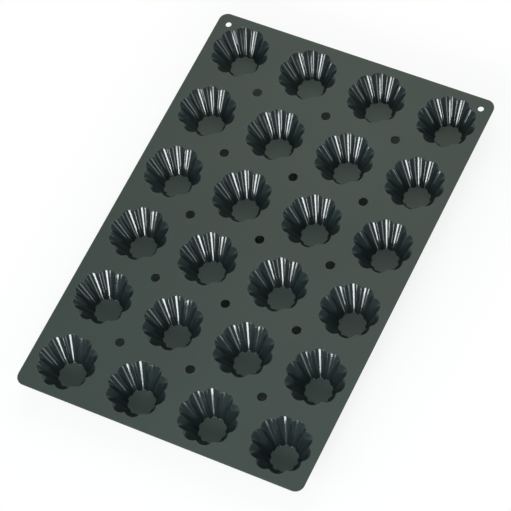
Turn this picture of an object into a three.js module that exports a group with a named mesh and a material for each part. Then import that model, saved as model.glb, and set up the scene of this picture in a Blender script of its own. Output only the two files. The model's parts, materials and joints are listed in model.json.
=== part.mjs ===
// Silicone brioche mould: a flat baker's sheet carrying a grid of fluted, tapered cups.
// Millimetres, +Z up. The origin lies under the middle of the sheet, on the surface the cups stand on.
// +Y points to the short edge that has the two hanging holes.

import * as THREE from 'three';
import { mergeVertices } from 'three/addons/utils/BufferGeometryUtils.js';

// Sheet
const SHEET_WIDTH = 400;
const SHEET_LENGTH = 600;
const SHEET_CORNER_RADIUS = 12;
const DECK_THICKNESS = 2;

// Cups
const COLUMNS = 4;
const ROWS = 6;
const CUP_PITCH = 100;
const CUP_DEPTH = 40;
const WALL_THICKNESS = 2;
const FLUTES = 10;
const MOUTH_LOBE_RADIUS = 39;
const MOUTH_RIDGE_RADIUS = 34.2;
const FLOOR_LOBE_RADIUS = 18.5;
const COLLAR_RADIUS = 43;

// Holes through the deck
const VENT_DIAMETER = 12;
const HANGING_HOLE_DIAMETER = 8;
const HANGING_HOLE_INSET = 16;

// Faceting
const STEPS_PER_FLUTE = 4;
const COLLAR_SIDES = 20;
const VENT_SIDES = 16;
const HANGING_HOLE_SIDES = 12;
const CORNER_STEPS = 5;

// Heights
const TOTAL_HEIGHT = CUP_DEPTH + WALL_THICKNESS;
const DECK_TOP = TOTAL_HEIGHT;
const DECK_UNDERSIDE = DECK_TOP - DECK_THICKNESS;
const CUP_FLOOR = WALL_THICKNESS;

const HALF_FLUTE = Math.PI / FLUTES;
const RIDGE_SHARE = MOUTH_RIDGE_RADIUS / MOUTH_LOBE_RADIUS;
const WALL_RUN = MOUTH_LOBE_RADIUS - FLOOR_LOBE_RADIUS;
const WALL_SLANT = Math.hypot(WALL_RUN, CUP_DEPTH) / CUP_DEPTH;
const WALL_ACROSS = WALL_THICKNESS * WALL_SLANT;

const silicone = new THREE.MeshStandardMaterial({ color: 0x47504c, roughness: 0.55, metalness: 0 });

// The inside of a cup at a height: the radius over the lobes, which shrinks evenly towards the floor.
function insideAt(height) {
  const share = (height - CUP_FLOOR) / CUP_DEPTH;
  return { height, lobe: THREE.MathUtils.lerp(FLOOR_LOBE_RADIUS, MOUTH_LOBE_RADIUS, share), grow: 0 };
}

// The outside of the wall at the same height.
function outsideAt(height) {
  return { ...insideAt(height), grow: WALL_ACROSS };
}

// Radius of the scalloped outline at an angle: a circular arc for each lobe, meeting the next at a ridge.
// Growing the arcs about their own centres keeps the distance to the plain outline even.
function scallopRadius(angle, { lobe, grow }) {
  const ridge = lobe * RIDGE_SHARE;
  const arcCentre = (lobe ** 2 - ridge ** 2) / (2 * (lobe - ridge * Math.cos(HALF_FLUTE)));
  const arcRadius = lobe - arcCentre + grow;
  const offLobe = THREE.MathUtils.euclideanModulo(angle + HALF_FLUTE, 2 * HALF_FLUTE) - HALF_FLUTE;
  const across = arcCentre * Math.sin(offLobe);
  return arcCentre * Math.cos(offLobe) + Math.sqrt(arcRadius ** 2 - across ** 2);
}

// Radius of the collar's rim at an angle: a regular polygon.
function collarRadius(angle) {
  const halfSide = Math.PI / COLLAR_SIDES;
  const offMiddle = THREE.MathUtils.euclideanModulo(angle, 2 * halfSide) - halfSide;
  return (COLLAR_RADIUS * Math.cos(halfSide)) / Math.cos(offMiddle);
}

// One turn around a cup's axis.
function ring(height, radiusAt) {
  const points = [];
  for (let step = 0; step < FLUTES * STEPS_PER_FLUTE; step += 1) {
    const angle = (step / STEPS_PER_FLUTE) * 2 * HALF_FLUTE;
    const radius = radiusAt(angle);
    points.push(new THREE.Vector3(radius * Math.cos(angle), radius * Math.sin(angle), height));
  }
  return points;
}

function scallopedRing(section) {
  return ring(section.height, (angle) => scallopRadius(angle, section));
}

function collarRing(height) {
  return ring(height, collarRadius);
}

// A closed body: rings joined in order, with a flat cap on the first and the last.
// Rings that climb on the inside and go down on the outside leave a hollow cup.
function ringedBody(rings) {
  const count = rings[0].length;
  const firstPole = new THREE.Vector3(0, 0, rings[0][0].z);
  const lastPole = new THREE.Vector3(0, 0, rings[rings.length - 1][0].z);
  const corners = [...rings.flat(), firstPole, lastPole];
  const first = rings.length * count;
  const last = first + 1;
  const faces = [];
  for (let i = 0; i < count; i += 1) {
    const next = (i + 1) % count;
    faces.push(first, i, next);
    for (let r = 0; r + 1 < rings.length; r += 1) {
      const low = r * count;
      const high = low + count;
      faces.push(low + i, high + i, high + next);
      faces.push(low + i, high + next, low + next);
    }
    const end = (rings.length - 1) * count;
    faces.push(last, end + next, end + i);
  }
  const geometry = new THREE.BufferGeometry().setFromPoints(corners);
  geometry.setIndex(faces);
  return geometry;
}

// Circular hole of a flat shape.
function roundHole(x, y, diameter, sides) {
  const radius = diameter / 2;
  const points = [];
  for (let i = 0; i < sides; i += 1) {
    const angle = (i / sides) * 2 * Math.PI;
    points.push(new THREE.Vector2(x + radius * Math.cos(angle), y + radius * Math.sin(angle)));
  }
  return new THREE.Path(points);
}

// Places of an evenly spaced row, centred on zero.
function evenPlaces(count) {
  return Array.from({ length: count }, (_, i) => (i - (count - 1) / 2) * CUP_PITCH);
}

const cupColumns = evenPlaces(COLUMNS);
const cupRows = evenPlaces(ROWS).reverse();

// Sheet with its rounded corners, a round place for each cup's collar, a vent amid every four cups,
// and the hanging holes.
function deckSheet() {
  const right = SHEET_WIDTH / 2;
  const far = SHEET_LENGTH / 2;
  const r = SHEET_CORNER_RADIUS;
  const outline = new THREE.Shape();
  outline.absarc(right - r, far - r, r, 0, Math.PI / 2);
  outline.absarc(r - right, far - r, r, Math.PI / 2, Math.PI);
  outline.absarc(r - right, r - far, r, Math.PI, 1.5 * Math.PI);
  outline.absarc(right - r, r - far, r, 1.5 * Math.PI, 2 * Math.PI);
  for (const x of cupColumns) {
    for (const y of cupRows) {
      outline.holes.push(roundHole(x, y, 2 * COLLAR_RADIUS, COLLAR_SIDES));
    }
  }
  for (const x of evenPlaces(COLUMNS - 1)) {
    for (const y of evenPlaces(ROWS - 1)) {
      outline.holes.push(roundHole(x, y, VENT_DIAMETER, VENT_SIDES));
    }
  }
  for (const side of [-1, 1]) {
    const x = side * (right - HANGING_HOLE_INSET);
    const y = far - HANGING_HOLE_INSET;
    outline.holes.push(roundHole(x, y, HANGING_HOLE_DIAMETER, HANGING_HOLE_SIDES));
  }
  const sheet = new THREE.ExtrudeGeometry(outline, {
    depth: DECK_THICKNESS,
    bevelEnabled: false,
    curveSegments: CORNER_STEPS,
  });
  sheet.deleteAttribute('normal');
  sheet.deleteAttribute('uv');
  return mergeVertices(sheet).translate(0, 0, DECK_UNDERSIDE);
}

// One cup: up the inside from the floor, out over the collar, level with the deck, and down the outside.
function cupShell() {
  return ringedBody([
    scallopedRing(insideAt(CUP_FLOOR)),
    scallopedRing(insideAt(DECK_TOP)),
    collarRing(DECK_TOP),
    collarRing(DECK_UNDERSIDE),
    scallopedRing(outsideAt(DECK_UNDERSIDE)),
    scallopedRing(outsideAt(0)),
  ]);
}

function named(name, geometry) {
  geometry.computeVertexNormals();
  const mesh = new THREE.Mesh(geometry, silicone);
  mesh.name = name;
  return mesh;
}

const mould = new THREE.Group();
mould.name = 'brioche_mould';
mould.add(named('deck', deckSheet()));

const shell = cupShell();
cupRows.forEach((y, row) => {
  cupColumns.forEach((x, column) => {
    const cup = named(`cup_r${row + 1}_c${column + 1}`, shell.clone());
    cup.position.set(x, y, 0);
    mould.add(cup);
  });
});

export default mould;
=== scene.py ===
# %% [markdown]
# # A silicone brioche mould
# The object is one soft sheet of dark grey-green silicone, as large as a baker's tray, with twenty-four
# fluted cups hanging below it. The sheet is matt on top, the cup walls are glossy, as from a polished tool,
# and the cup floors are matt again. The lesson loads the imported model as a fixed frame, so every piece is
# made where the frame says.

# %% Load the frame
import json
import math

import bmesh
import bpy
from mathutils import Matrix, Vector

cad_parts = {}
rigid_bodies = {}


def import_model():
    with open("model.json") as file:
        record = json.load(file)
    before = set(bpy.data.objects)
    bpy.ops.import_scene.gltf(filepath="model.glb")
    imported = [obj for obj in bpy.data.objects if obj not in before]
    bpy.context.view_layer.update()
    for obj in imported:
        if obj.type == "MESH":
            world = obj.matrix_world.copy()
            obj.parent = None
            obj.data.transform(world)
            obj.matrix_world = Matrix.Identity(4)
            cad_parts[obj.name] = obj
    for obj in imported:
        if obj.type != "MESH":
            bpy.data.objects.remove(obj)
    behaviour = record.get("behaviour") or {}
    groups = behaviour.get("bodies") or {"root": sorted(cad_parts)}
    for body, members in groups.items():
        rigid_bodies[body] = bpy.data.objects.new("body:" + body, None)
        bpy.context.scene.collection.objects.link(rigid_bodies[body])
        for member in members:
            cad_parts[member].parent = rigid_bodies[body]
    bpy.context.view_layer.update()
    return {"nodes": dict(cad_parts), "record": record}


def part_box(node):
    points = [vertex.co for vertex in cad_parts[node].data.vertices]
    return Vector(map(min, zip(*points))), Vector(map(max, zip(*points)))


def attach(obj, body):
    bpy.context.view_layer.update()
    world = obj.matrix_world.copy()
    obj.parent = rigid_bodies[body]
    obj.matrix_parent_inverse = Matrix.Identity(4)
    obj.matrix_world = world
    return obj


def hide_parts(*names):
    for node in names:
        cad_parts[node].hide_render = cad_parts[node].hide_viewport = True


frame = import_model()
scene = bpy.context.scene
scene.view_settings.view_transform = "Standard"

# %% [markdown]
# ## Sizes
# The sheet's outline, the heights and the places of the cups are read from the frame. What the frame can't
# say, such as how far an edge is rounded, is named in metres where it is first needed. The driving sizes of
# a cup are the radius over its lobes and over the ridges between them at the mouth, and over the lobes at
# the floor.

# %% Read the sizes
DECK_LOW, DECK_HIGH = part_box("deck")
DECK_TOP = DECK_HIGH.z
DECK_UNDERSIDE = DECK_LOW.z
SHEET_WIDTH = DECK_HIGH.x - DECK_LOW.x
SHEET_LENGTH = DECK_HIGH.y - DECK_LOW.y

CUP_NAMES = sorted(name for name in frame["nodes"] if name.startswith("cup_"))
CUP_PLACES = {name: sum(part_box(name), Vector()) / 2 for name in CUP_NAMES}
FIRST_LOW, FIRST_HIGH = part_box(CUP_NAMES[0])
COLLAR_RADIUS = (FIRST_HIGH.x - FIRST_LOW.x) / 2
COLUMN_PLACES = sorted({round(place.x, 4) for place in CUP_PLACES.values()})
ROW_PLACES = sorted({round(place.y, 4) for place in CUP_PLACES.values()})

FLUTES = 10
HALF_FLUTE = math.pi / FLUTES
WALL = 0.002
MOUTH_LOBE = 0.039
MOUTH_RIDGE = 0.0342
FLOOR_LOBE = 0.0185
CUP_FLOOR = WALL
CUP_DEPTH = DECK_TOP - CUP_FLOOR
SLOPE = math.atan2(CUP_DEPTH, MOUTH_LOBE - FLOOR_LOBE)
print("sheet", round(SHEET_WIDTH, 4), "by", round(SHEET_LENGTH, 4))
print("cups", len(CUP_NAMES), "with collars of radius", round(COLLAR_RADIUS, 4))

# %% [markdown]
# ## Camera
# The photograph looks down into the cups from the front right with a long lens, a little tilted. A camera
# could be placed by its location and three angles, but what it looks at is easier to fit to a picture: a
# point on the deck, the direction to it, the distance and the roll. The lens is not shifted, so the same
# camera serves other views.

# %% Set the camera
AIM = Vector((0.0054, -0.0231, DECK_TOP))
CAMERA_AZIMUTH = math.radians(38.1)
CAMERA_ELEVATION = math.radians(59.8)
CAMERA_ROLL = math.radians(-14.1)
CAMERA_DISTANCE = 3.281
LENS = 181.7
SIGHT_LIMIT = 100


def direction_to(azimuth, elevation):
    """Unit vector from the object towards a place round it; azimuth 0 is in front of the near short edge."""
    flat = math.cos(elevation)
    return Vector((math.sin(azimuth) * flat, -math.cos(azimuth) * flat, math.sin(elevation)))


back = direction_to(CAMERA_AZIMUTH, CAMERA_ELEVATION)
level = Vector((0, 0, 1)).cross(back).normalized()
above = back.cross(level)
right = math.cos(CAMERA_ROLL) * level + math.sin(CAMERA_ROLL) * above
camera = bpy.data.objects.new("camera", bpy.data.cameras.new("camera"))
scene.collection.objects.link(camera)
camera.data.lens = LENS
camera.data.clip_end = SIGHT_LIMIT
turn = Matrix((right, back.cross(right), back)).transposed().to_4x4()
camera.matrix_world = Matrix.Translation(AIM + CAMERA_DISTANCE * back) @ turn
scene.camera = camera
print("camera at", [round(value, 3) for value in camera.location])

# %% [markdown]
# ## Working by hand, in code
# An operator acts on all that is selected, so each step first says what is selected. These helpers do what
# the mouse would do: start a piece, pick edges by their place, and pull a ring of edges to its next size
# and height.

# %% Start a piece and select on it
LEVEL = 1e-5


def start_piece(name):
    """Adds an object with an empty mesh at the origin and enters its edit mode."""
    bpy.ops.object.select_all(action="DESELECT")
    bpy.ops.mesh.primitive_plane_add()
    piece = bpy.context.object
    piece.name = piece.data.name = name
    bpy.ops.object.mode_set(mode="EDIT")
    bpy.ops.mesh.select_all(action="SELECT")
    bpy.ops.mesh.delete(type="VERT")
    return piece


def select(piece, kind, wanted):
    """Selects just the vertices, edges or faces that the test accepts, and says how many."""
    bpy.ops.mesh.select_mode(type=kind)
    bpy.ops.mesh.select_all(action="DESELECT")
    mesh = bmesh.from_edit_mesh(piece.data)
    for part in {"VERT": mesh.verts, "EDGE": mesh.edges, "FACE": mesh.faces}[kind]:
        if wanted(part):
            part.select_set(True)
    mesh.select_flush_mode()
    bmesh.update_edit_mesh(piece.data)
    data = piece.data
    return {"VERT": data.total_vert_sel, "EDGE": data.total_edge_sel, "FACE": data.total_face_sel}[kind]


def open_edge_at(height):
    """Test for an open edge that lies at a height."""
    return lambda edge: len(edge.link_faces) < 2 and all(abs(v.co.z - height) < LEVEL for v in edge.verts)


# %% Pull a ring and close a piece
SMOOTH_BELOW = math.radians(32)
WELD = 1e-6
CM3 = 1e6


def pull_ring(stops):
    """Takes the selected ring, drawn round the Z axis at height 0 and size 1, through (size, height) stops."""
    size, height = stops[0]
    bpy.ops.transform.translate(value=(0, 0, height))
    bpy.ops.transform.resize(value=(size, size, 1), center_override=(0, 0, height))
    for next_size, next_height in stops[1:]:
        bpy.ops.mesh.extrude_edges_move(TRANSFORM_OT_translate={"value": (0, 0, next_height - height)})
        ratio = next_size / size
        bpy.ops.transform.resize(value=(ratio, ratio, 1), center_override=(0, 0, next_height))
        size, height = next_size, next_height


def close_piece(piece):
    """Welds doubles, turns every face outwards, leaves edit mode and smooths what is round."""
    bpy.ops.mesh.select_mode(type="VERT")
    bpy.ops.mesh.select_all(action="SELECT")
    bpy.ops.mesh.remove_doubles(threshold=WELD)
    bpy.ops.mesh.normals_make_consistent(inside=False)
    bpy.ops.object.mode_set(mode="OBJECT")
    bpy.ops.object.shade_smooth_by_angle(angle=SMOOTH_BELOW)
    mesh = bmesh.new()
    mesh.from_mesh(piece.data)
    loose = sum(len(edge.link_faces) != 2 for edge in mesh.edges)
    volume = round(mesh.calc_volume(signed=True) * CM3, 2)
    print(piece.name, len(mesh.faces), "faces,", loose, "open edges,", volume, "cm3")
    mesh.free()


# %% [markdown]
# ## The scalloped outline
# Seen from above, a cup's wall is ten equal arcs that meet in ridges. It could be drawn as a bent circle,
# but arcs keep every lobe truly round. So one arc is spun from a single vertex, the arc is spun ten times
# round the cup's axis, and the sharp ridges are rounded with a vertex bevel. Growing the arc by the wall
# gives the outside.

# %% Draw the outline
ARC_CENTRE = (MOUTH_LOBE**2 - MOUTH_RIDGE**2) / (2 * (MOUTH_LOBE - MOUTH_RIDGE * math.cos(HALF_FLUTE)))
ARC_STEPS = 16
RIDGE_ROUNDING = 0.0014
RIDGE_SEGMENTS = 5
ROUND_PROFILE = 0.5


def draw_scallops(piece, grow=0.0):
    """Adds one scalloped turn at height 0, scaled so that its lobes have the radius 1, and selects it."""
    lobe = MOUTH_LOBE + grow
    across = ARC_CENTRE * math.sin(HALF_FLUTE)
    ridge = ARC_CENTRE * math.cos(HALF_FLUTE) + math.sqrt((lobe - ARC_CENTRE) ** 2 - across**2)
    start = Vector((ridge * math.cos(HALF_FLUTE), ridge * math.sin(HALF_FLUTE), 0))
    half_arc = math.atan2(start.y, start.x - ARC_CENTRE)
    bpy.ops.mesh.select_mode(type="VERT")
    bpy.ops.mesh.select_all(action="DESELECT")
    bpy.ops.mesh.primitive_plane_add()
    bpy.ops.mesh.merge(type="CENTER")
    bpy.ops.transform.translate(value=start)
    bpy.ops.mesh.spin(steps=ARC_STEPS, angle=2 * half_arc, center=(ARC_CENTRE, 0, 0), axis=(0, 0, 1))
    bpy.ops.mesh.select_linked()
    bpy.ops.mesh.spin(steps=FLUTES, dupli=True, angle=2 * math.pi, center=(0, 0, 0), axis=(0, 0, 1))
    bpy.ops.mesh.select_all(action="SELECT")
    bpy.ops.mesh.remove_doubles(threshold=WELD)

    def is_drawn(vertex):
        return abs(vertex.co.z) < LEVEL and not vertex.link_faces

    select(piece, "VERT", lambda v: is_drawn(v) and abs(v.co.to_2d().length - ridge) < LEVEL)
    bpy.ops.mesh.bevel(
        offset=RIDGE_ROUNDING,
        offset_type="OFFSET",
        segments=RIDGE_SEGMENTS,
        profile=ROUND_PROFILE,
        affect="VERTICES",
    )
    count = select(piece, "EDGE", lambda edge: not edge.link_faces and all(is_drawn(v) for v in edge.verts))
    bpy.ops.transform.resize(value=(1 / lobe, 1 / lobe, 1), center_override=(0, 0, 0))
    return count


print("arcs of radius", round(MOUTH_LOBE - ARC_CENTRE, 4), "about a circle of radius", round(ARC_CENTRE, 4))

# %% [markdown]
# ## The profiles of a cup
# A cup is a fluted cone with a flat floor and a soft roll where its mouth meets the deck. It could be
# carved out of a solid, but two profiles say more: one down the inside from the collar to the floor, and
# one down the outside. Each has a rounding at both ends, and an extra ring on each flat face next to it,
# the holding ring, which keeps the flat faces flat when the shading is smoothed.

# %% Profiles of the cup's wall
WALL_ACROSS = WALL / math.sin(SLOPE)
MOUTH_ROLL = 0.0012
FLOOR_ROUNDING = 0.0016
ROOT_ROUNDING = 0.0018
FOOT_ROUNDING = 0.0026
HOLDING_RING = 0.0008
ROUND_STEPS = 6
WALL_STEPS = 4


def wall_profile(top, roll, bottom, rounding):
    """Stops of (radius, height) from a level face over a roll, down the slope and into a level floor."""
    tangent = math.tan(SLOPE / 2)
    turns = [SLOPE * step / ROUND_STEPS for step in range(ROUND_STEPS + 1)]
    bends = [(tangent - math.sin(turn), 1 - math.cos(turn)) for turn in turns]
    over = [(top[0] + roll * out, top[1] - roll * down) for out, down in bends]
    into = [(bottom[0] - rounding * out, bottom[1] + rounding * down) for out, down in bends]
    into.reverse()
    shares = [step / WALL_STEPS for step in range(1, WALL_STEPS)]
    slope = [tuple(a + (b - a) * share for a, b in zip(over[-1], into[0])) for share in shares]
    first = (over[0][0] + HOLDING_RING, top[1])
    last = (into[-1][0] - HOLDING_RING, bottom[1])
    return [first, *over, *slope, *into, last]


root_radius = MOUTH_LOBE - (DECK_TOP - DECK_UNDERSIDE) / math.tan(SLOPE) + WALL_ACROSS
foot_radius = FLOOR_LOBE + WALL_ACROSS - CUP_FLOOR / math.tan(SLOPE)
inside = wall_profile((MOUTH_LOBE, DECK_TOP), MOUTH_ROLL, (FLOOR_LOBE, CUP_FLOOR), FLOOR_ROUNDING)
outside = wall_profile((root_radius, DECK_UNDERSIDE), ROOT_ROUNDING, (foot_radius, 0), FOOT_ROUNDING)
print("inside", len(inside), "rings, outside", len(outside), "rings")
print("wall across", round(1000 * WALL_ACROSS, 2), "mm")

# %% [markdown]
# ## One cup
# The scalloped ring is pulled along the inside profile and closed with a floor, and a ring grown by the
# wall is pulled along the outside. A short round tube is the collar's edge. What is still open at the
# deck's two heights is then filled flat. Lofting a surface between curves would be another way, but it
# leaves the ends to be mended.

# %% Model the cup
COLLAR_STEPS = 80
cup_master = start_piece("cup_master")
print("outline of", draw_scallops(cup_master), "edges")
pull_ring(inside)
bpy.ops.mesh.edge_face_add()
print("outer outline of", draw_scallops(cup_master, WALL_ACROSS), "edges")
pull_ring(outside)
bpy.ops.mesh.edge_face_add()
bpy.ops.mesh.primitive_circle_add(vertices=COLLAR_STEPS, radius=COLLAR_RADIUS, fill_type="NOTHING")
pull_ring([(1, DECK_TOP), (1, DECK_UNDERSIDE)])
for height in (DECK_TOP, DECK_UNDERSIDE):
    edges = select(cup_master, "EDGE", open_edge_at(height))
    print("collar face at", round(height, 4), "from", edges, "edges")
    bpy.ops.mesh.fill(use_beauty=True)
close_piece(cup_master)

# %% [markdown]
# ## The deck's rim
# The deck is the sheet between the cups: rounded corners, soft edges, a round place for each cup's collar,
# a vent in the middle of every four cups, and two small holes to hang it by. It could be cut with Booleans,
# but those can leave ragged edges round a hole. So the rim is one strip, each hole is a short tube with
# rolled lips, and the flat top and underside are filled in between them. The rim comes first.

# %% Model the rim
CORNER_RADIUS = 0.012
CORNER_SEGMENTS = 10
EDGE_ROUNDING = 0.0006
EDGE_SEGMENTS = 3
THICKNESS = DECK_TOP - DECK_UNDERSIDE
FLAT = 0.99


def is_level(edge):
    """Test for an edge whose ends are equally high."""
    return abs(edge.verts[0].co.z - edge.verts[1].co.z) < LEVEL


deck = start_piece("deck_sheet")
bpy.ops.mesh.primitive_plane_add(size=1)
bpy.ops.transform.resize(value=(SHEET_WIDTH, SHEET_LENGTH, 1), center_override=(0, 0, 0))
bpy.ops.transform.translate(value=(0, 0, DECK_UNDERSIDE))
bpy.ops.mesh.bevel(
    offset=CORNER_RADIUS,
    offset_type="OFFSET",
    segments=CORNER_SEGMENTS,
    profile=ROUND_PROFILE,
    affect="VERTICES",
)
bpy.ops.mesh.select_all(action="SELECT")
bpy.ops.mesh.extrude_region_move(TRANSFORM_OT_translate={"value": (0, 0, THICKNESS)})
print("rim edges", select(deck, "EDGE", is_level))
bpy.ops.mesh.bevel(
    offset=EDGE_ROUNDING,
    offset_type="OFFSET",
    segments=EDGE_SEGMENTS,
    profile=ROUND_PROFILE,
    affect="EDGES",
)
print("flat faces", select(deck, "FACE", lambda face: abs(face.normal.z) > FLAT))
bpy.ops.mesh.inset(thickness=HOLDING_RING)
bpy.ops.mesh.delete(type="ONLY_FACE")
bpy.ops.object.mode_set(mode="OBJECT")

# %% [markdown]
# ## One of each hole
# A vent and a hanging hole differ in size only: a round hole whose lips roll out on to the sheet. A
# bevelled cylinder would do, but the same ring that made the cup also makes a tube. The hanging holes lie
# close to the corner cups' collars, so the holding ring round them is narrow: a wide one would cross the
# collar's edge.

# %% Model one of each hole
VENT_RADIUS = 0.006
VENT_STEPS = 48
HANGING_RADIUS = 0.004
HANGING_STEPS = 40
LIP = 0.0005
LIP_STEPS = 3
NARROW_RING = 0.0004


def hole_tube(name, radius, steps, ring):
    """A tube through the deck, open at both ends, whose lips roll out on to the flat faces."""
    tube = start_piece(name)
    bpy.ops.mesh.primitive_circle_add(vertices=steps, radius=1, fill_type="NOTHING")
    turns = [math.pi / 2 * step / LIP_STEPS for step in range(LIP_STEPS + 1)]
    lips = [(radius + LIP * (1 - math.sin(turn)), LIP * (1 - math.cos(turn))) for turn in turns]
    down = [(size, DECK_TOP - drop) for size, drop in lips]
    out = [(size, DECK_UNDERSIDE + drop) for size, drop in reversed(lips)]
    hold = radius + LIP + ring
    pull_ring([(hold, DECK_TOP), *down, *out, (hold, DECK_UNDERSIDE)])
    bpy.ops.object.mode_set(mode="OBJECT")
    print(name, len(tube.data.polygons), "faces")
    return tube


vent = hole_tube("vent", VENT_RADIUS, VENT_STEPS, HOLDING_RING)
hanging_hole = hole_tube("hanging_hole", HANGING_RADIUS, HANGING_STEPS, NARROW_RING)
well = start_piece("collar_well")
bpy.ops.mesh.primitive_circle_add(vertices=COLLAR_STEPS, radius=COLLAR_RADIUS, fill_type="NOTHING")
pull_ring([(1, DECK_TOP), (1, DECK_UNDERSIDE)])
bpy.ops.object.mode_set(mode="OBJECT")

# %% [markdown]
# ## Holes in their places
# A round place goes under every cup's collar, a vent midway between every four cups, and a hanging hole
# where the frame has its opening. An array would repeat them on a grid, but copies can take their places
# from the frame. They are joined with the rim, and the sheet is filled between all the open edges at each
# of its two heights.

# %% Copy the holes to their places
def copy_piece(piece, name, place):
    """Duplicates a piece with a mesh of its own and applies its new place to the mesh."""
    bpy.ops.object.select_all(action="DESELECT")
    bpy.context.view_layer.objects.active = piece
    piece.select_set(True)
    bpy.ops.object.duplicate(linked=False)
    copy = bpy.context.object
    copy.name = copy.data.name = name
    bpy.ops.transform.translate(value=(place.x, place.y, 0))
    bpy.ops.object.transform_apply(location=True, rotation=False, scale=False)
    return copy


def between(places):
    """The middles of the gaps in a row of places."""
    return [(a + b) / 2 for a, b in zip(places, places[1:])]


openings = {opening["name"]: opening["box_m"] for opening in frame["record"]["physics"]["openings"]}
holes = [copy_piece(well, f"well_{name}", place) for name, place in CUP_PLACES.items()]
for x in between(COLUMN_PLACES):
    for y in between(ROW_PLACES):
        holes.append(copy_piece(vent, "vent_copy", Vector((x, y, 0))))
for name in ("hanging_hole_left", "hanging_hole_right"):
    low, high = (Vector(corner) for corner in openings[name])
    holes.append(copy_piece(hanging_hole, name, (low + high) / 2))
print("holes", len(holes))

# %% Join and fill the sheet
bpy.ops.object.select_all(action="DESELECT")
for hole in (*holes, deck):
    hole.select_set(True)
bpy.context.view_layer.objects.active = deck
bpy.ops.object.join()
for master in (well, vent, hanging_hole):
    bpy.data.objects.remove(master)
bpy.ops.object.mode_set(mode="EDIT")
for height in (DECK_TOP, DECK_UNDERSIDE):
    edges = select(deck, "EDGE", open_edge_at(height))
    print("flat face at", round(height, 4), "from", edges, "edges")
    bpy.ops.mesh.fill(use_beauty=True)
close_piece(deck)

# %% [markdown]
# ## Writing shaders as sums
# A finish is a small calculation: clouds of noise are scaled, added and mixed into a colour, a roughness
# and a bump. It could be wired node by node, but sums are easier to read, so one class wraps a node's
# output and turns Python's operators into Math nodes. Its node method adds any other node.

# %% A wire that can be added and multiplied


class Wire:
    """A node's output socket. Sums on wires add Math nodes to the tree that is being wired."""

    tree = None

    def __init__(self, socket):
        self.socket = socket

    @classmethod
    def node(cls, kind, settings=None, inputs=None, output=0):
        """Adds a node: its settings first, then the values or wires of its sockets."""
        node = cls.tree.nodes.new(kind)
        for name, value in (settings or {}).items():
            setattr(node, name, value)
        for name, value in (inputs or {}).items():
            cls.feed(node.inputs[name], value)
        return cls(node.outputs[output])

    @classmethod
    def feed(cls, socket, value):
        """Gives a socket a wire or a plain value."""
        if isinstance(value, Wire):
            cls.tree.links.new(value.socket, socket)
        else:
            socket.default_value = value

    def sum(self, operation, first, second):
        return Wire.node("ShaderNodeMath", {"operation": operation}, {0: first, 1: second})

    def __add__(self, other):
        return self.sum("ADD", self, other)

    def __radd__(self, other):
        return self.sum("ADD", other, self)

    def __sub__(self, other):
        return self.sum("SUBTRACT", self, other)

    def __rsub__(self, other):
        return self.sum("SUBTRACT", other, self)

    def __mul__(self, other):
        return self.sum("MULTIPLY", self, other)

    def __rmul__(self, other):
        return self.sum("MULTIPLY", other, self)


# %% Words for the finishes
def new_finish(name):
    """Starts a material and returns it with the sockets of its shader."""
    material = bpy.data.materials.new(name)
    material.use_nodes = True
    Wire.tree = material.node_tree
    return material, material.node_tree.nodes["Principled BSDF"].inputs


def object_place():
    """The wire of a piece's own coordinates, which are the frame's metres."""
    return Wire.node("ShaderNodeTexCoord", output="Object")


def clouds(place, spacing, detail=2.0, roughness=0.5):
    """Noise from 0 to 1 whose clouds lie about a spacing apart."""
    inputs = {"Vector": place, "Scale": 1 / spacing, "Detail": detail, "Roughness": roughness}
    return Wire.node("ShaderNodeTexNoise", inputs=inputs, output="Fac")


def rise(wire, low, high):
    """0 below low, 1 above high, and smooth in between."""
    inputs = {"Value": wire, "From Min": low, "From Max": high}
    return Wire.node("ShaderNodeMapRange", {"interpolation_type": "SMOOTHSTEP"}, inputs, "Result")


def tint(mask, dark, light):
    """A colour between two, by a mask."""
    return Wire.node("ShaderNodeMix", {"data_type": "RGBA"}, {0: mask, 6: (*dark, 1), 7: (*light, 1)}, 2)


def bump(height, depth):
    """A normal from a height wire that runs from 0 to 1 over a depth in metres."""
    inputs = {"Strength": 1.0, "Distance": depth, "Height": height}
    return Wire.node("ShaderNodeBump", inputs=inputs, output="Normal")


def leaning(rise_by):
    """The surface's normal, leaned up towards +Z."""
    facing = Wire.node("ShaderNodeNewGeometry", output="Normal")
    raised = Wire.node("ShaderNodeVectorMath", {"operation": "ADD"}, {0: facing, 1: (0, 0, rise_by)})
    return Wire.node("ShaderNodeVectorMath", {"operation": "NORMALIZE"}, {0: raised})


# %% [markdown]
# ## Matt silicone
# All of the mould is the same pigmented rubber, dark grey with a little green. The deck, the cup floors and
# the outside are matt. One flat colour would look like plastic, so the tone drifts slowly, a cloudy bloom
# lies in the sheen, and a fine grain is raised by about a hundredth of a millimetre. The refractive index
# of silicone, about 1.41, is the same all over these faces, so it is set on the socket.

# %% Mix the matt finishes
SILICONE_INDEX = 1.41
CLOUD_SPACING = 0.16
BLOOM_SPACING = 0.022
GRAIN_SPACING = 0.0011
DRIFT_WEIGHT, BLOOM_WEIGHT, GRAIN_WEIGHT = 0.55, 0.3, 0.15
TONE_LOW, TONE_HIGH = 0.3, 0.7
BLOOM_ROUGHENS = 0.1
GRAIN_ROUGHENS = 0.06
FINE_GRAIN = 1.2e-5
FINER_GRAIN = 1e-5


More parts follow.
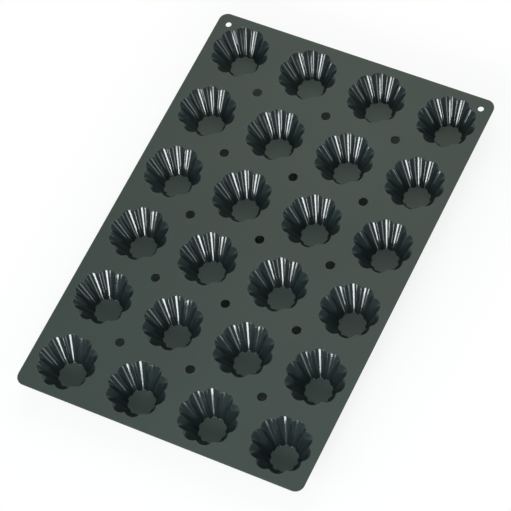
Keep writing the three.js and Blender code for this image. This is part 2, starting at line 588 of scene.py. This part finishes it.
def matt_silicone(name, dark, light, roughness, grain_depth):
    """Matt finish: drifting tone, a cloudy bloom in the sheen and a fine grain."""
    material, shader = new_finish(name)
    place = object_place()
    drift = clouds(place, CLOUD_SPACING)
    bloom = clouds(place, BLOOM_SPACING, detail=4.0, roughness=0.6)
    grain = clouds(place, GRAIN_SPACING, detail=3.0, roughness=0.6)
    tone = rise(DRIFT_WEIGHT * drift + BLOOM_WEIGHT * bloom + GRAIN_WEIGHT * grain, TONE_LOW, TONE_HIGH)
    smoothest = roughness - (BLOOM_ROUGHENS + GRAIN_ROUGHENS) / 2
    Wire.feed(shader["Base Color"], tint(tone, dark, light))
    Wire.feed(shader["Roughness"], smoothest + BLOOM_ROUGHENS * bloom + GRAIN_ROUGHENS * grain)
    Wire.feed(shader["Normal"], bump(grain, grain_depth))
    shader["IOR"].default_value = SILICONE_INDEX
    return material


deck_finish = matt_silicone(
    "silicone_deck_matt", (0.028, 0.038, 0.033), (0.034, 0.045, 0.039), 0.55, FINE_GRAIN
)
floor_finish = matt_silicone(
    "silicone_floor_matt", (0.052, 0.070, 0.060), (0.060, 0.080, 0.069), 0.6, FINE_GRAIN
)
outside_finish = matt_silicone(
    "silicone_outside_satin", (0.038, 0.052, 0.045), (0.045, 0.061, 0.053), 0.45, FINER_GRAIN
)
print("matt finishes", [finish.name for finish in (deck_finish, floor_finish, outside_finish)])

# %% [markdown]
# ## Glossy silicone
# The fluted walls are glossy and look almost black, and so does the roll at the mouth, a little less. They
# get a deeper colour, a low roughness and an index of 1.5, somewhat more than silicone's own, so they
# mirror more. The walls' normals also lean up in the shading. The photograph shows the cups from lower down
# than the sheet, as a shifted lens does, so its walls mirror lamps that this unshifted camera wouldn't see
# in them. Leaning the normals brings those streaks back. It is a choice for the picture, not a property of
# the rubber, and no mesh is changed.

# %% Mix the glossy finishes
GLOSS_INDEX = 1.5
WALL_LEAN = 0.45
BLOOM_DULLS = 0.06


def gloss_silicone(name, dark, light, roughness, lean):
    """Glossy finish: deep tone, a nearly even gloss and, where asked, a leaning normal."""
    material, shader = new_finish(name)
    place = object_place()
    drift = clouds(place, CLOUD_SPACING)
    bloom = clouds(place, BLOOM_SPACING, detail=3.0, roughness=0.5)
    Wire.feed(shader["Base Color"], tint(rise(drift, TONE_LOW, TONE_HIGH), dark, light))
    Wire.feed(shader["Roughness"], roughness - BLOOM_DULLS / 2 + BLOOM_DULLS * bloom)
    if lean:
        Wire.feed(shader["Normal"], leaning(lean))
    shader["IOR"].default_value = GLOSS_INDEX
    return material


wall_finish = gloss_silicone(
    "silicone_wall_gloss", (0.012, 0.018, 0.019), (0.016, 0.023, 0.024), 0.12, WALL_LEAN
)
rim_finish = gloss_silicone("silicone_rim_gloss", (0.020, 0.027, 0.026), (0.025, 0.033, 0.031), 0.2, 0)
print("glossy finishes", [finish.name for finish in (wall_finish, rim_finish)])

# %% [markdown]
# ## Dress the pieces
# The faces of a cup say by their place and direction what they are. Those that turn over from the deck are
# the rim, those that look at the axis are wall, the level ones low down are floor, the level ones at the
# top belong to the deck's flat, and the rest is the outside. They could be painted by hand, but a test does
# all ten flutes alike. The cup is dressed once and then copied to its twenty-four places.

# %% Dress and copy the cup
for material in (deck_finish, wall_finish, floor_finish, outside_finish, rim_finish):
    cup_master.data.materials.append(material)
ON_DECK, ON_WALL, ON_FLOOR, ON_OUTSIDE, ON_RIM = range(5)
RIM_LOW = DECK_TOP - MOUTH_ROLL * (1 - math.cos(SLOPE))
INWARD = 0.08
STEEP_BELOW = 0.8
LEVEL_ABOVE = 0.7


def cup_place(face):
    """Which finish a face of the cup takes."""
    from_axis = face.center.to_2d()
    inward = -face.normal.to_2d().dot(from_axis.normalized()) if from_axis.length else 0
    if face.center.z > RIM_LOW and 0 < face.normal.z < FLAT:
        return ON_RIM
    if inward > INWARD and face.normal.z < STEEP_BELOW:
        return ON_WALL
    if face.normal.z > LEVEL_ABOVE:
        return ON_DECK if face.center.z > DECK_UNDERSIDE else ON_FLOOR
    return ON_OUTSIDE


for face in cup_master.data.polygons:
    face.material_index = cup_place(face)
cups = [copy_piece(cup_master, f"fluted_{name}", CUP_PLACES[name]) for name in CUP_NAMES]
bpy.data.objects.remove(cup_master)
deck.data.materials.append(deck_finish)
triangles = sum(len(face.vertices) - 2 for cup in cups for face in cup.data.polygons)
print("cups", len(cups), "with", triangles, "triangles in all")

# %% [markdown]
# ## Hang the pieces on the frame
# The real mould is one moulding that moves as a whole, so the deck and all the cups ride on the one body.
# Each takes the place of its own node of the frame, which says where it belongs.

# %% Hang the pieces
for cup, name in zip(cups, CUP_NAMES):
    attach(cup, "root")
    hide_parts(name)
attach(deck, "root")
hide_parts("deck")
print("pieces on the frame", len(cups) + 1)

# %% [markdown]
# ## The floor
# The photograph is a cut-out on white. More light would whiten the floor but also wash out the mould, so
# rays that look at the floor, straight or in a mirror, see it as mostly white of itself. Near the sheet a
# share of plain paint stays, which keeps the shadow, and farther out it is all white. Well under the sheet
# it is paint alone, so the vents look dark, while the hanging holes near the edge show white.

# %% Lay the floor
FLOOR_SIZE = 14
FLOOR_GREY = 0.82
FLOOR_ROUGHNESS = 0.9
WHITE_SHARE = 0.86
UNDER_SHEET, SHEET_EDGE = -0.04, -0.02
SHADOW_REACH = 0.03
ALL_WHITE = 0.15


def seen_ray():
    """1 for rays that show a thing, straight or in a mirror, and 0 for rays that carry light to others."""
    kinds = ("Is Camera Ray", "Is Glossy Ray", "Is Transmission Ray")
    straight, mirrored, through = (Wire.node("ShaderNodeLightPath", output=kind) for kind in kinds)
    return rise(straight + mirrored + through, 0.0, 1.0)


def past_edge(axis, length):
    """How far a place lies past the sheet's edge along an axis; less than 0 is under the sheet."""
    along = Wire.node("ShaderNodeSeparateXYZ", inputs={0: object_place()}, output=axis)
    return Wire.node("ShaderNodeMath", {"operation": "ABSOLUTE"}, {0: along}) - length / 2


bpy.ops.object.select_all(action="DESELECT")
bpy.ops.mesh.primitive_plane_add(size=FLOOR_SIZE)
floor = bpy.context.object
floor.name = "studio_floor"
floor_paint, shader = new_finish("studio_floor_pale")
shader["Base Color"].default_value = (FLOOR_GREY, FLOOR_GREY, FLOOR_GREY, 1)
shader["Roughness"].default_value = FLOOR_ROUGHNESS
shader["Specular IOR Level"].default_value = 0.0
past_sides = {0: past_edge("X", SHEET_WIDTH), 1: past_edge("Y", SHEET_LENGTH)}
past_sheet = Wire.node("ShaderNodeMath", {"operation": "MAXIMUM"}, past_sides)
outside_sheet = rise(past_sheet, UNDER_SHEET, SHEET_EDGE)
share = WHITE_SHARE + (1 - WHITE_SHARE) * rise(past_sheet, SHADOW_REACH, ALL_WHITE)
white = Wire.node("ShaderNodeEmission", inputs={"Color": (1, 1, 1, 1), "Strength": 1.0})
paint = Wire(floor_paint.node_tree.nodes["Principled BSDF"].outputs[0])
mixed = Wire.node("ShaderNodeMixShader", inputs={0: share * outside_sheet * seen_ray(), 1: paint, 2: white})
Wire.feed(floor_paint.node_tree.nodes["Material Output"].inputs["Surface"], mixed)
floor.data.materials.append(floor_paint)
print("floor", FLOOR_SIZE, "m square")

# %% [markdown]
# ## The lamps
# How the photograph was lit isn't known, so the lamps were placed until the render's streaks and tones came
# near. Four low strips on the camera's side are what the far walls of the cups mirror as bright streaks. A
# softbox over the far rows and a warm one behind them light the deck. One lamp would be simpler, but it
# gives a single streak.

# %% Set the lamps
WARM = (1.0, 0.98, 0.82)
COOL = (0.96, 1.0, 1.0)
LAMP_DISTANCE = 1.5
STRIP_ELEVATION = 31
STRIP_HEIGHT = 0.43
STRIP_AZIMUTH_WIDTH_BRIGHTNESS = {
    "strip_far_left": (-22, 0.26, 14),
    "strip_left": (12, 0.38, 23),
    "strip_right": (58, 0.29, 4),
    "strip_far_right": (107, 0.23, 3),
}


def softbox(name, azimuth, elevation, distance, width, height, brightness, color):
    """A rectangular lamp that faces the mould; a brightness of 1 would look white in a mirror."""
    lamp = bpy.data.lights.new(name, "AREA")
    lamp.shape = "RECTANGLE"
    lamp.size, lamp.size_y = width, height
    lamp.energy = brightness * math.pi * width * height
    lamp.color = color
    stand = bpy.data.objects.new(name, lamp)
    scene.collection.objects.link(stand)
    towards = direction_to(math.radians(azimuth), math.radians(elevation))
    stand.location = distance * towards + Vector((0, 0, DECK_TOP))
    stand.rotation_euler = towards.to_track_quat("Z", "Y").to_euler()
    stand.visible_camera = False


for name, (azimuth, width, brightness) in STRIP_AZIMUTH_WIDTH_BRIGHTNESS.items():
    softbox(name, azimuth, STRIP_ELEVATION, LAMP_DISTANCE, width, STRIP_HEIGHT, brightness, COOL)
softbox(
    "softbox_over", azimuth=200, elevation=75, distance=LAMP_DISTANCE,
    width=0.9, height=0.9, brightness=2.4, color=COOL,
)
softbox(
    "softbox_behind", azimuth=195, elevation=42, distance=1.1,
    width=0.9, height=0.6, brightness=2.2, color=WARM,
)

# %% [markdown]
# ## The world
# All round the horizon the world is white, so that it runs on from the floor in low views. Higher up it is
# a dim, slightly green dome that fills the shadows. A picture of a studio could stand here, but a gradient
# is enough.

# %% Set the world
DOME = 0.3
DOME_TINT = (0.72, 1.0, 0.98)
HORIZON_TOP, DOME_START = 0.06, 0.25

world = bpy.data.worlds.new("studio")
scene.world = world
world.use_nodes = True
Wire.tree = world.node_tree
background = world.node_tree.nodes["Background"].inputs
direction = Wire.node("ShaderNodeTexCoord", output="Generated")
upward = Wire.node("ShaderNodeSeparateXYZ", inputs={0: direction}, output="Z")
on_dome = rise(upward, HORIZON_TOP, DOME_START)
Wire.feed(background["Color"], tint(on_dome, (1, 1, 1), DOME_TINT))
Wire.feed(background["Strength"], 1 - (1 - DOME) * on_dome)
print("dome", DOME, "above a white horizon")
